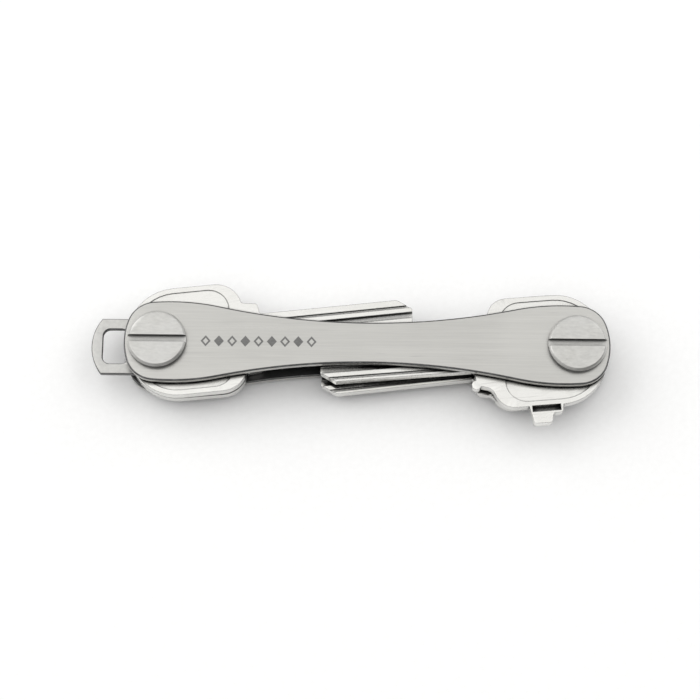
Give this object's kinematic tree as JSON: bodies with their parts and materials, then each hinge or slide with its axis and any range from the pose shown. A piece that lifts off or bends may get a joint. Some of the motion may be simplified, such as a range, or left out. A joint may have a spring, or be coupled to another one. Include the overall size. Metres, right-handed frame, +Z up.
{
  "type": "folding key organiser",
  "caption": "Pocket key organiser with dog-bone side plates, screw posts, house keys that fold out from between them and a swivelling loop at one end.",
  "frame": {"origin": "on the surface the organiser lies on, under the middle of its bounding box", "axes": "+X along the plates, away from the loop; +Y across them, away from the right upper key's ear; +Z up, out of the coin-slot side"},
  "size_m": [0.0984, 0.027, 0.011],
  "materials": {
    "plate": "brushed lengthwise",
    "post": "satin with a bright chamfer",
    "screw": "turned, bright",
    "washer": "plain",
    "key": "nickel plated, lightly worn",
    "loop": "stamped, satin"
  },
  "bodies": {
    "frame": {"upper_plate": "plate", "lower_plate": "plate", "left_post": "post", "right_post": "post", "left_screw": "screw", "right_screw": "screw", "left_upper_shim": "washer", "left_lower_shim": "washer", "right_upper_shim": "washer", "right_lower_shim": "washer", "right_upper_spacer": "washer", "right_lower_spacer": "washer"},
    "left_upper_key": {"left_upper_key": "key"},
    "left_lower_key": {"left_lower_key": "key"},
    "right_upper_key": {"right_upper_key": "key"},
    "right_lower_key": {"right_lower_key": "key"},
    "loop": {"loop_tab": "loop"}
  },
  "joints": [
    {"name": "left_upper_key_fold", "type": "hinge", "parent": "frame", "child": "left_upper_key", "pos_m": [-0.03648, 0.00154, 0], "axis": [0, 0, 1], "range_deg": [0, 180]},
    {"name": "left_lower_key_fold", "type": "hinge", "parent": "frame", "child": "left_lower_key", "pos_m": [-0.03648, 0.00154, 0], "axis": [0, 0, 1], "range_deg": [0, 180]},
    {"name": "right_upper_key_fold", "type": "hinge", "parent": "frame", "child": "right_upper_key", "pos_m": [0.04292, 0.00154, 0], "axis": [0, 0, 1], "range_deg": [0, 180]},
    {"name": "right_lower_key_fold", "type": "hinge", "parent": "frame", "child": "right_lower_key", "pos_m": [0.04292, 0.00154, 0], "axis": [0, 0, 1], "range_deg": [0, 180]},
    {"name": "loop_swing", "type": "hinge", "parent": "frame", "child": "loop", "pos_m": [-0.03648, 0.00154, 0], "axis": [0, 0, 1], "range_deg": [-90, 90]}
  ]
}
